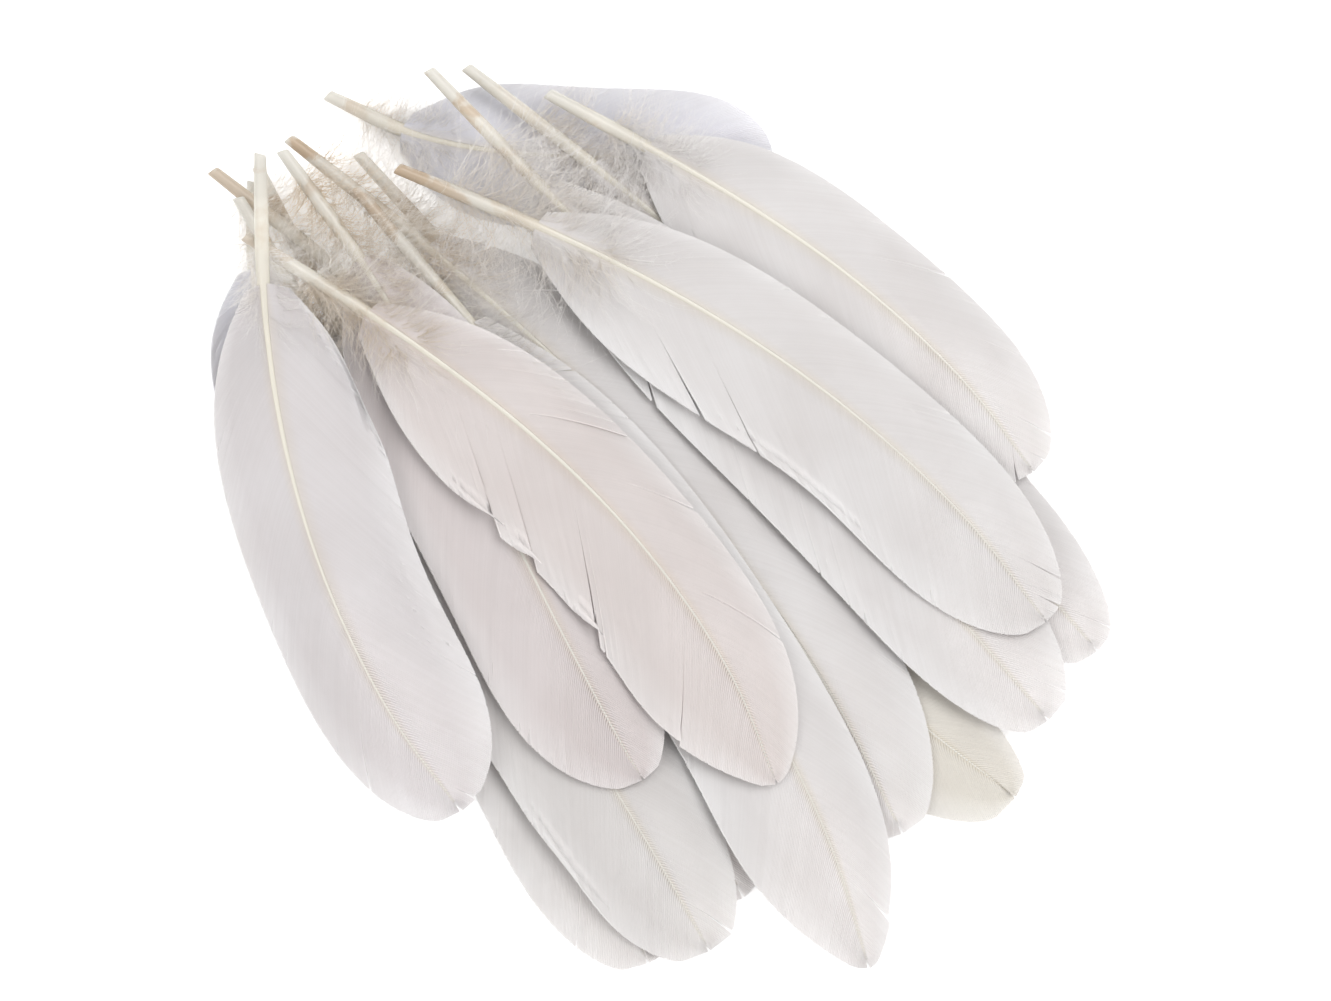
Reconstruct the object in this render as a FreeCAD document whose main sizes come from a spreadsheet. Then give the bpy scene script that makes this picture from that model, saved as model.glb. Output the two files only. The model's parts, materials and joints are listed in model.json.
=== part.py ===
"""A fanned bunch of loose goose quill feathers, laid on a flat surface one over another.

Each feather is four pieces: the shaft (hollow barrel and solid rachis), the left and right vanes,
and the tuft of down beside the barrel.  A feather is drawn in its own frame, with its quill tip at
the origin, its barrel along +X and its upper face up, and is then placed in the bunch.
"""

import FreeCAD, Part

import math
import os

import Sketcher
from FreeCAD import Placement, Rotation, Vector

COMMON_DIMENSIONS = {
    "mouth_radius": 1.3,
    "barrel_radius": 1.6,
    "barrel_share": 0.12,
    "bore_radius": 1.0,
    "bore_depth": 10.0,
    "rachis_tip_radius": 0.25,
    "arch_rise": 2.0,
    "vane_thickness": 0.4,
    "vane_gap": 0.3,
    "vane_droop_angle": 3.0,
    "vane_start_share": 0.19,
    "down_width": 9.0,
    "down_thickness": 1.4,
    "down_start_share": 0.125,
    "down_end_share": 0.18,
    "rest_gap": 0.5,
    "fan_swing": 3.0,
}

# One row for each feather, from the bottom of the pile to the top.
FEATHER_FIELDS = (
    "tip_x", "tip_y", "heading", "bend", "curl", "reach", "left_vane", "right_vane", "tip_taper"
)
FEATHERS = {
    "quill_01": (-74, 95, -26, 84, -72, 102, 15.5, 16, 0.5),
    "quill_02": (-67, 82, -47.5, -2, 14, 207, 14, 19, 0.5),
    "quill_03": (-43, 101, -37.5, -11, -1, 193, 14, 16, 0.5),
    "quill_04": (-90, 76, -90, 66, -4, 110, 16, 15, 0.55),
    "quill_05": (-89, 79, -63.5, 7, -12, 199, 16, 20, 0.55),
    "quill_06": (-99, 78, -38, -58, 33, 204, 13, 18, 0.6),
    "quill_07": (-82, 85, -38, -15, -14, 210, 18, 18, 0.55),
    "quill_08": (-93, 72, -59, 12, -15, 199, 17, 20, 0.5),
    "quill_09": (-25, 95, -28, -9, -20, 139.5, 14.5, 20, 0.55),
    "quill_10": (-51, 100, -46, 6, -10, 201, 17, 16, 0.5),
    "quill_11": (-67, 74, -50, 9, -37, 211, 14, 21, 0.85),
    "quill_12": (-83, 82, -54, -33, 28, 162, 15, 20, 0.6),
    "quill_13": (-58, 78, -22, -20, -14, 180, 14, 20, 0.55),
    "quill_14": (-91, 63, -32, -14, -27, 174, 14, 21, 0.8),
    "quill_15": (-87, 81, -89.5, 31, 8, 157, 21, 15.5, 0.5),
}

SHAFT_SHARES = (0.0, 0.04, 0.08, 0.12, 0.2, 0.32, 0.46, 0.6, 0.74, 0.88, 0.99)
VANE_SHARES = (0.0, 0.07, 0.16, 0.3, 0.48, 0.64, 0.76, 0.85, 0.92, 0.965, 0.99)
DOWN_SHARES = (0.0, 0.35, 0.7, 1.0)
DOWN_PROFILE = (0.3, 0.8, 1.0, 0.85)

CURVE_STEPS = 120
SAMPLE_STEP = 2.0
PITCH_LIMIT = 0.16
ROLL_LIMIT = 0.16
TILT_STEP = 0.01
SECTION_TURN = Rotation(Vector(1, 1, 1), 120)
UP = Vector(0, 0, 1)
LEFT, RIGHT = 1, -1


def fill_sheet(doc):
    """Writes every driving dimension to the sheet, each under an alias."""
    sheet = doc.addObject("Spreadsheet::Sheet", "Dims")
    rows = dict(COMMON_DIMENSIONS)
    for name, values in FEATHERS.items():
        for field, value in zip(FEATHER_FIELDS, values):
            rows[f"{name}_{field}"] = value
    for row, (alias, value) in enumerate(rows.items(), start=1):
        sheet.set(f"A{row}", alias)
        sheet.set(f"B{row}", str(value))
        sheet.setAlias(f"B{row}", alias)
    doc.recompute()
    return sheet


def past(share, start):
    """How far a share of the length is past a start, as a share of what is left."""
    return max(0.0, (share - start) / (1.0 - start))


def rachis_taper(share, barrel_share):
    """1 along the barrel, falling to 0 at the feather's tip."""
    return (1.0 - past(share, barrel_share)) ** 1.15


def barrel_swell(share, barrel_share):
    """0 at the barrel's mouth, rising to 1 at its upper end."""
    return math.sin(0.5 * math.pi * min(share / barrel_share, 1.0))


def vane_profile(share, tip_taper):
    """The vane's width as a share of its widest, from its lower end (0) to the tip (1)."""
    swell = 1.0 - 0.75 * (1.0 - min(share / 0.3, 1.0)) ** 2
    rounding = (1.0 - past(share, 0.72) ** 2.4) ** tip_taper
    return swell * rounding


class Feather:
    """One feather's numbers, read from the sheet, and its curve in its own frame."""

    def __init__(self, sheet, name):
        self.sheet = sheet
        self.name = name
        self.reach = self.own("reach")
        self.barrel_share = sheet.barrel_share
        self.curve = self.trace()
        self.placement = Placement()

    def own(self, field):
        """A value of this feather's own row."""
        return getattr(self.sheet, f"{self.name}_{field}")

    def trace(self):
        """The centreline as (x, y, turn) at even steps, straight along the barrel."""
        bend = math.radians(self.own("bend"))
        curl = math.radians(self.own("curl"))
        step = self.reach / CURVE_STEPS
        x = y = 0.0
        points = [(x, y, 0.0)]
        for count in range(1, CURVE_STEPS + 1):
            share = past((count - 0.5) / CURVE_STEPS, self.barrel_share)
            turn = bend * share + curl * share * share
            x += step * math.cos(turn)
            y += step * math.sin(turn)
            points.append((x, y, turn))
        return points

    def centre(self, share):
        """The centreline's point and its turn in radians at a share of the length."""
        place = min(share * CURVE_STEPS, CURVE_STEPS - 1e-6)
        low = int(place)
        rest = place - low
        here, after = self.curve[low], self.curve[low + 1]
        x, y, turn = (a + (b - a) * rest for a, b in zip(here, after))
        rise = self.sheet.arch_rise * math.sin(math.pi * past(share, self.barrel_share))
        return Vector(x, y, rise), turn

    def section(self, share, roll=0.0):
        """The placement of a cross-section: its X to the left, its Y up, its normal ahead."""
        point, turn = self.centre(share)
        turned = Rotation(UP, math.degrees(turn))
        return Placement(point, turned * SECTION_TURN * Rotation(UP, roll))

    def radius(self, share):
        """The shaft's radius."""
        sheet = self.sheet
        thin, thick, mouth = sheet.rachis_tip_radius, sheet.barrel_radius, sheet.mouth_radius
        if share < self.barrel_share:
            return mouth + (thick - mouth) * barrel_swell(share, self.barrel_share)
        return thin + (thick - thin) * rachis_taper(share, self.barrel_share)

    def spread(self, share, side):
        """How far the feather reaches sideways, and half its thickness there."""
        sheet = self.sheet
        if share < sheet.down_start_share:
            return 0.0, 0.0
        if share < sheet.vane_start_share:
            return sheet.down_width, sheet.down_thickness / 2
        width = self.own("left_vane" if side == LEFT else "right_vane")
        profile = vane_profile(past(share, sheet.vane_start_share), self.own("tip_taper"))
        return width * profile, sheet.vane_thickness / 2

    def samples(self):
        """Points over the whole feather: (x, y, lowest, highest), in its own frame."""
        fall = math.tan(math.radians(self.sheet.vane_droop_angle))
        steps = int(self.reach / SAMPLE_STEP)
        found = []
        for count in range(steps + 1):
            share = count / steps
            point, turn = self.centre(share)
            radius = self.radius(share)
            found.append((point.x, point.y, point.z - radius, point.z + radius))
            for side in (LEFT, RIGHT):
                width, half = self.spread(share, side)
                rows = max(1, math.ceil(width / SAMPLE_STEP))
                for row in range(1, rows + 1):
                    out = max(width, radius) * row / rows
                    middle = point.z - fall * out
                    x = point.x - side * out * math.sin(turn)
                    y = point.y + side * out * math.cos(turn)
                    thick = max(half, radius if out <= radius else 0.0)
                    found.append((x, y, middle - thick, middle + thick))
        return found


class Pile:
    """The top of what has been laid down so far, as a height for each cell of a grid."""

    def __init__(self, gap):
        self.gap = gap
        self.tops = {}

    @staticmethod
    def cell(x, y):
        """The grid cell that holds a point."""
        return math.floor(x / SAMPLE_STEP), math.floor(y / SAMPLE_STEP)

    def raise_to(self, x, y, height):
        """Lifts the pile's top in the point's cell and the cells round it."""
        column, row = self.cell(x, y)
        for near_x in (column - 1, column, column + 1):
            for near_y in (row - 1, row, row + 1):
                key = (near_x, near_y)
                self.tops[key] = max(height, self.tops.get(key, 0.0))

    def floor_at(self, x, y):
        """The lowest height that clears the pile at a point."""
        top = self.tops.get(self.cell(x, y))
        return 0.0 if top is None else top + self.gap


def swing_angles(feather):
    """The turns about the quill tip that the fan's travel covers, in steps of about one sample."""
    swing = math.radians(feather.sheet.fan_swing)
    count = math.ceil(swing * feather.reach / SAMPLE_STEP)
    return [swing * step / count for step in range(-count, count + 1)]


def resting_plane(needs):
    """The lowest tilted plane z = lift + pitch x + roll y on or above every (x, y, height)."""
    middle_x = sum(need[0] for need in needs) / len(needs)
    middle_y = sum(need[1] for need in needs) / len(needs)
    best = None
    pitches = round(PITCH_LIMIT / TILT_STEP)
    rolls = round(ROLL_LIMIT / TILT_STEP)
    for pitch_step in range(-pitches, pitches + 1):
        pitch = pitch_step * TILT_STEP
        for roll_step in range(-rolls, rolls + 1):
            roll = roll_step * TILT_STEP
            lift = max(height - pitch * x - roll * y for x, y, height in needs)
            energy = lift + pitch * middle_x + roll * middle_y
            if best is None or energy < best[0]:
                best = (energy, lift, pitch, roll)
    return best[1:]


def lay_down(feather, pile):
    """Rests a feather on the pile, clear of it over the fan's whole travel, and adds it."""
    tip = Vector(feather.own("tip_x"), feather.own("tip_y"), 0)
    heading = math.radians(feather.own("heading"))
    turns = [heading + angle for angle in swing_angles(feather)]
    spins = [(math.cos(turn), math.sin(turn)) for turn in turns]
    samples = feather.samples()
    needs = []
    for x, y, lowest, _ in samples:
        reached = [(tip.x + x * c - y * s, tip.y + x * s + y * c) for c, s in spins]
        needs.append((x, y, max(pile.floor_at(*spot) for spot in reached) - lowest))
    lift, pitch, roll = resting_plane(needs)
    for x, y, _, highest in samples:
        height = lift + pitch * x + roll * y + highest
        for c, s in spins:
            pile.raise_to(tip.x + x * c - y * s, tip.y + x * s + y * c, height)
    tilt = Rotation(UP, Vector(-pitch, -roll, 1))
    turn = Rotation(UP, feather.own("heading"))
    feather.placement = Placement(Vector(tip.x, tip.y, lift), turn * tilt)


def plane_of(body, role):
    """One of a body's own origin planes."""
    return next(part for part in body.Origin.OriginFeatures if part.Role == role)


def circle_sketch(body, name, offset, expression):
    """A circle on the body's YZ plane, moved by an offset, with its radius from the sheet."""
    sketch = body.newObject("Sketcher::SketchObject", name)
    sketch.AttachmentSupport = [(plane_of(body, "YZ_Plane"), "")]
    sketch.MapMode = "FlatFace"
    sketch.AttachmentOffset = offset
    sketch.addGeometry(Part.Circle(Vector(), UP, 1.0))
    sketch.addConstraint(Sketcher.Constraint("Coincident", 0, 3, -1, 1))
    sketch.addConstraint(Sketcher.Constraint("Radius", 0, 1.0))
    sketch.setExpression("Constraints[1]", expression)
    sketch.Visibility = False
    return sketch


def shaft_radius_expression(share, barrel_share):
    """The shaft's radius at a share of the length, worked out from the sheet."""
    if share < barrel_share:
        swell = barrel_swell(share, barrel_share)
        return f"Dims.mouth_radius + (Dims.barrel_radius - Dims.mouth_radius) * {swell:.4f}"
    taper = rachis_taper(share, barrel_share)
    return f"Dims.rachis_tip_radius + (Dims.barrel_radius - Dims.rachis_tip_radius) * {taper:.4f}"


def make_shaft(doc, feather):
    """The shaft: a straight hollow barrel that runs on as a tapering curved rachis."""
    body = doc.addObject("PartDesign::Body", f"{feather.name}_shaft_body")
    body.Label = f"{feather.name}_shaft"
    rings = []
    for share in SHAFT_SHARES:
        point, turn = feather.centre(share)
        turned = Rotation(Vector(0, 1, 0), math.degrees(turn))
        offset = Placement(Vector(point.y, point.z, point.x), turned)
        expression = shaft_radius_expression(share, feather.barrel_share)
        rings.append(circle_sketch(body, f"{body.Name}_ring", offset, expression))
    shaft = body.newObject("PartDesign::AdditiveLoft", f"{body.Name}_loft")
    shaft.Profile = rings[0]
    shaft.Sections = rings[1:]
    doc.recompute()

    mouth = circle_sketch(body, f"{body.Name}_mouth", Placement(), "Dims.bore_radius")
    bore = body.newObject("PartDesign::Pocket", f"{body.Name}_bore")
    bore.Profile = mouth
    bore.Reversed = True
    bore.setExpression("Length", "Dims.bore_depth")
    body.Placement = feather.placement
    body.Tip = bore
    return body


def blade_sketch(doc, name, place, side, inner, outer, thickness):
    """A thin upright rectangle beside the shaft, with its edges' distances from the sheet."""
    sketch = doc.addObject("Sketcher::SketchObject", name)
    near, far, half = side * 1.0, side * 3.0, 0.5
    corners = [Vector(near, -half), Vector(far, -half), Vector(far, half), Vector(near, half)]
    for first, second in zip(corners, corners[1:] + corners[:1]):
        sketch.addGeometry(Part.LineSegment(first, second))
    for line in range(4):
        sketch.addConstraint(Sketcher.Constraint("Coincident", line, 2, (line + 1) % 4, 1))
    for line in (0, 2):
        sketch.addConstraint(Sketcher.Constraint("Horizontal", line))
    for line in (1, 3):
        sketch.addConstraint(Sketcher.Constraint("Vertical", line))
    for vertex, distance, expression in ((1, near, inner), (2, far, outer)):
        ends = (-1, 1, 0, vertex) if side == LEFT else (0, vertex, -1, 1)
        index = sketch.addConstraint(Sketcher.Constraint("DistanceX", *ends, abs(distance)))
        sketch.setExpression(f"Constraints[{index}]", expression)
    low = sketch.addConstraint(Sketcher.Constraint("DistanceY", 0, 1, -1, 1, half))
    sketch.setExpression(f"Constraints[{low}]", f"{thickness} / 2")
    high = sketch.addConstraint(Sketcher.Constraint("DistanceY", -1, 1, 2, 1, half))
    sketch.setExpression(f"Constraints[{high}]", f"{thickness} / 2")
    sketch.Placement = place
    sketch.Visibility = False
    return sketch


def blade_loft(doc, name, feather, side, stations, thickness):
    """A thin blade beside the shaft, lofted through a section at each (share, outer) station."""
    roll = -side * feather.sheet.vane_droop_angle
    sections = []
    for share, outer in stations:
        inner = f"{shaft_radius_expression(share, feather.barrel_share)} + Dims.vane_gap"
        place = feather.section(share, roll)
        sections.append(blade_sketch(doc, f"{name}_section", place, side, inner, outer, thickness))
    loft = doc.addObject("Part::Loft", f"{name}_blade")
    loft.Sections = sections
    loft.Solid = True
    loft.Ruled = False
    loft.Placement = feather.placement
    return loft


def make_vane(doc, feather, side):
    """One vane, from its lower end above the down to the feather's rounded tip."""
    word = "left" if side == LEFT else "right"
    start = feather.sheet.vane_start_share
    stations = []
    for share in VANE_SHARES:
        profile = vane_profile(share, feather.own("tip_taper"))
        outer = f"Dims.{feather.name}_{word}_vane * {profile:.4f}"
        stations.append((start + (1.0 - start) * share, outer))
    vane = blade_loft(doc, f"{feather.name}_{word}_vane", feather, side, stations, "Dims.vane_thickness")
    vane.Label = f"{feather.name}_{word}_vane"
    return vane


def make_down(doc, feather):
    """The tuft of down: a soft lobe on each side of the shaft, below the vanes."""
    start, end = feather.sheet.down_start_share, feather.sheet.down_end_share
    lobes = []
    for side in (LEFT, RIGHT):
        stations = [
            (start + (end - start) * share, f"Dims.down_width * {profile}")
            for share, profile in zip(DOWN_SHARES, DOWN_PROFILE)
        ]
        name = f"{feather.name}_down_lobe"
        lobes.append(blade_loft(doc, name, feather, side, stations, "Dims.down_thickness"))
    down = doc.addObject("Part::Compound", f"{feather.name}_down_tuft")
    down.Links = lobes
    down.Label = f"{feather.name}_down"
    return down


def centre_bunch(doc, feathers, pieces):
    """Moves the bunch so that the origin is the middle of its underside."""
    box = FreeCAD.BoundBox()
    for piece in pieces:
        box.add(piece.Shape.BoundBox)
    shift = Vector(-box.Center.x, -box.Center.y, -box.ZMin)
    for feather in feathers:
        feather.placement.Base = feather.placement.Base + shift
        for thing in doc.Objects:
            placed = thing.TypeId in ("PartDesign::Body", "Part::Loft")
            if placed and thing.Name.startswith(feather.name):
                thing.Placement = feather.placement
    doc.recompute()


def check(doc, pieces):
    """Stops if any object failed or any piece isn't a sound solid."""
    for thing in doc.Objects:
        if "Invalid" in thing.State or "Error" in thing.State:
            raise RuntimeError(f"{thing.Name} failed: {thing.State}")
    for piece in pieces:
        shape = piece.Shape
        if shape.isNull() or not shape.isValid() or not shape.Solids:
            raise RuntimeError(f"{piece.Label} isn't a sound solid")


def build():
    """Builds the whole bunch and returns the feathers and their pieces."""
    doc = FreeCAD.newDocument("feather_bunch")
    sheet = fill_sheet(doc)
    pile = Pile(sheet.rest_gap)
    feathers = [Feather(sheet, name) for name in FEATHERS]
    pieces = []
    for feather in feathers:
        lay_down(feather, pile)
        pieces.append(make_shaft(doc, feather))
        pieces.append(make_vane(doc, feather, LEFT))
        pieces.append(make_vane(doc, feather, RIGHT))
        pieces.append(make_down(doc, feather))
    doc.recompute()
    centre_bunch(doc, feathers, pieces)
    check(doc, pieces)
    return feathers, pieces


def export(pieces):
    """Writes each piece to its own STEP file."""
    os.makedirs("parts", exist_ok=True)
    for piece in pieces:
        piece.Shape.exportStep(f"parts/{piece.Label}.step")


FEATHERS_MADE, PIECES = build()
export(PIECES)
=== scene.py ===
"""Looks for a fanned bunch of loose white goose quill feathers.

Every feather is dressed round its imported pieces: a horn shaft with an open hollow barrel, two webs of
separate barbs, and a tuft of down below them.  Lengths are in metres.
"""

import json
import logging
import math
from dataclasses import dataclass, field
from enum import Enum
from typing import Any

import bpy
import numpy as np
from mathutils import Matrix, Vector
from mathutils.bvhtree import BVHTree


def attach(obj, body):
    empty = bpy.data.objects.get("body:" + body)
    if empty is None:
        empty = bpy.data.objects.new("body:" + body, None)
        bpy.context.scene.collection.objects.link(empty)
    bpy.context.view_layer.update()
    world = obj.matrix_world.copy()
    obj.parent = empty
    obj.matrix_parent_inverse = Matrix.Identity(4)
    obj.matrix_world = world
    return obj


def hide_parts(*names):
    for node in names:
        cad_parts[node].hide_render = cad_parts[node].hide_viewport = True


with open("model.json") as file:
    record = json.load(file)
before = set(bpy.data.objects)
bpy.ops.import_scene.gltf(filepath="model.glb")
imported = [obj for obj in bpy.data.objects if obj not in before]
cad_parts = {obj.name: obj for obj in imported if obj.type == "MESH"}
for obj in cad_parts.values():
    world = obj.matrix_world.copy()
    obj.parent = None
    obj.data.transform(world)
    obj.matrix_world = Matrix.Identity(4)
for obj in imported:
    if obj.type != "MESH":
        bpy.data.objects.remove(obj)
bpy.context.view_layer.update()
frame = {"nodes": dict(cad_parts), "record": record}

MM = 0.001
UP = np.array([0.0, 0.0, 1.0])
RARE_PARTINGS = 14.0  # the higher, the fewer partings show between the groups of barbs
WIDEST_PARTING = 0.3  # as a share of a group
LOOSE_SHARE = 0.16  # the lower share of a vane where barbs stray
TILE_TILT = 8.0  # degrees by which each barb overlaps the next, like tiles
FLOOR_GAP = 0.15 * MM  # how far the down stays above the floor
REST_GAP = 0.35 * MM  # how far a sagging web stays above what lies under it
log = logging.getLogger("feather_bunch")


class Side(Enum):
    """The two sides of a feather, seen from above with its tip ahead."""

    LEFT = 1
    RIGHT = -1

    @property
    def word(self) -> str:
        """The side's name as it stands in the names of the pieces."""
        return self.name.lower()


class Tint(Enum):
    """The faint colour casts of the white webs, as linear colours."""

    COOL = (0.900, 0.900, 0.945)
    LILAC = (0.875, 0.850, 0.855)
    PLAIN = (0.905, 0.885, 0.880)
    PEARL = (0.875, 0.855, 0.845)
    BLUSH = (0.890, 0.840, 0.825)
    ROSE = (0.865, 0.815, 0.810)
    IVORY = (0.860, 0.835, 0.785)


def unit(vector: np.ndarray) -> np.ndarray:
    """The vector at length one."""
    return vector / np.linalg.norm(vector)


def smooth(value: np.ndarray | float) -> np.ndarray | float:
    """An even step from 0 to 1, flat at both ends."""
    held = np.clip(value, 0.0, 1.0)
    return held * held * (3.0 - 2.0 * held)


# ---------------------------------------------------------------------------------------------------
# Node trees


class NodeBuilder:
    """Adds nodes to a tree and links them by their sockets' names."""

    def __init__(self, tree: bpy.types.NodeTree) -> None:
        """Starts on a tree.

        Args:
            tree: The geometry or shader tree that the nodes go in.
        """
        self.tree = tree

    def add(self, kind: str, inputs: dict[Any, Any] | None = None, **settings: Any) -> bpy.types.Node:
        """Adds one node.

        Args:
            kind: The node's type name.
            inputs: Values or sockets to join, by the input's identifier or name.
            settings: The node's own settings.

        Returns:
            The new node.
        """
        node = self.tree.nodes.new(kind)
        for name, value in settings.items():
            setattr(node, name, value)
        for key, value in (inputs or {}).items():
            socket = self.find(node.inputs, key)
            if isinstance(value, bpy.types.NodeSocket):
                self.tree.links.new(value, socket)
            else:
                socket.default_value = value
        return node

    @staticmethod
    def find(sockets: Any, key: Any) -> bpy.types.NodeSocket:
        """Finds a socket by its place, its identifier or its name among those in use.

        Args:
            sockets: A node's inputs or outputs.
            key: The place, identifier or name.

        Returns:
            The socket.
        """
        if isinstance(key, int):
            return sockets[key]
        shown = [socket for socket in sockets if socket.enabled]
        for socket in shown:
            if socket.identifier == key:
                return socket
        return next(socket for socket in shown if socket.name == key)

    def out(self, node: bpy.types.Node, name: str) -> bpy.types.NodeSocket:
        """A node's output by name."""
        return self.find(node.outputs, name)

    def math(self, operation: str, first: Any, second: Any = 0.0) -> bpy.types.NodeSocket:
        """One step of arithmetic.

        Args:
            operation: The Math node's operation.
            first: A number or socket.
            second: A number or socket.

        Returns:
            The result's socket.
        """
        node = self.add("ShaderNodeMath", {0: first, 1: second}, operation=operation)
        return node.outputs[0]

    def join(self, x: Any, y: Any, z: Any = 0.0) -> bpy.types.NodeSocket:
        """A vector made of three numbers or sockets."""
        return self.add("ShaderNodeCombineXYZ", {0: x, 1: y, 2: z}).outputs[0]


class GeometryTree(NodeBuilder):
    """A geometry tree with named inputs, ending in Realize Instances and Set Material."""

    KINDS = {float: "NodeSocketFloat", int: "NodeSocketInt"}

    def __init__(self, name: str, sizes: dict[str, float | int]) -> None:
        """Makes the tree and its inputs.

        Args:
            name: The tree's name.
            sizes: Each size's name with its usual value.
        """
        super().__init__(bpy.data.node_groups.new(name, "GeometryNodeTree"))
        face = self.tree.interface
        face.new_socket("Guide", in_out="INPUT", socket_type="NodeSocketGeometry")
        face.new_socket("Finish", in_out="INPUT", socket_type="NodeSocketMaterial")
        for title, value in sizes.items():
            socket = face.new_socket(title, in_out="INPUT", socket_type=self.KINDS[type(value)])
            socket.default_value = value
        face.new_socket("Made", in_out="OUTPUT", socket_type="NodeSocketGeometry")
        self.given = self.tree.nodes.new("NodeGroupInput").outputs

    def tumbled(self, base: bpy.types.NodeSocket, low: Any, high: Any, seed: Any) -> bpy.types.NodeSocket:
        """A rotation with a random turn on top of it.

        Args:
            base: The rotation to start from.
            low: The least turn round each axis.
            high: The greatest turn round each axis.
            seed: The draw's seed.

        Returns:
            The rotation's socket.
        """
        sizes = {"Min": low, "Max": high, "Seed": seed}
        turn = self.add("FunctionNodeRandomValue", sizes, data_type="FLOAT_VECTOR")
        bent = self.add("FunctionNodeEulerToRotation", {0: turn.outputs[0]})
        joined = {0: base, 1: bent.outputs[0]}
        return self.add("FunctionNodeRotateRotation", joined, rotation_space="LOCAL").outputs[0]

    def close(self, geometry: bpy.types.NodeSocket) -> None:
        """Realizes the instances, sets the finish and ends the tree."""
        whole = self.add("GeometryNodeRealizeInstances", {"Geometry": geometry}).outputs[0]
        dressed = self.add("GeometryNodeSetMaterial", {"Geometry": whole, "Material": self.given["Finish"]})
        self.add("NodeGroupOutput", {0: dressed.outputs[0]})

    def grow(
        self, guide: bpy.types.Object, finish: bpy.types.Material, sizes: dict[str, Any]
    ) -> bpy.types.Mesh:
        """Runs the tree on a guide and returns what it makes as a plain mesh.

        Args:
            guide: The object that holds the guide's mesh.
            finish: The material that the tree sets.
            sizes: The inputs that differ from their usual values.

        Returns:
            The new mesh.
        """
        modifier = guide.modifiers.new("growth", "NODES")
        modifier.node_group = self.tree
        named = {item.name: item.identifier for item in self.tree.interface.items_tree}
        modifier[named["Finish"]] = finish
        for title, value in sizes.items():
            modifier[named[title]] = value
        grown = guide.evaluated_get(bpy.context.evaluated_depsgraph_get())
        mesh = bpy.data.meshes.new_from_object(grown)
        guide.modifiers.remove(modifier)
        return mesh


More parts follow.
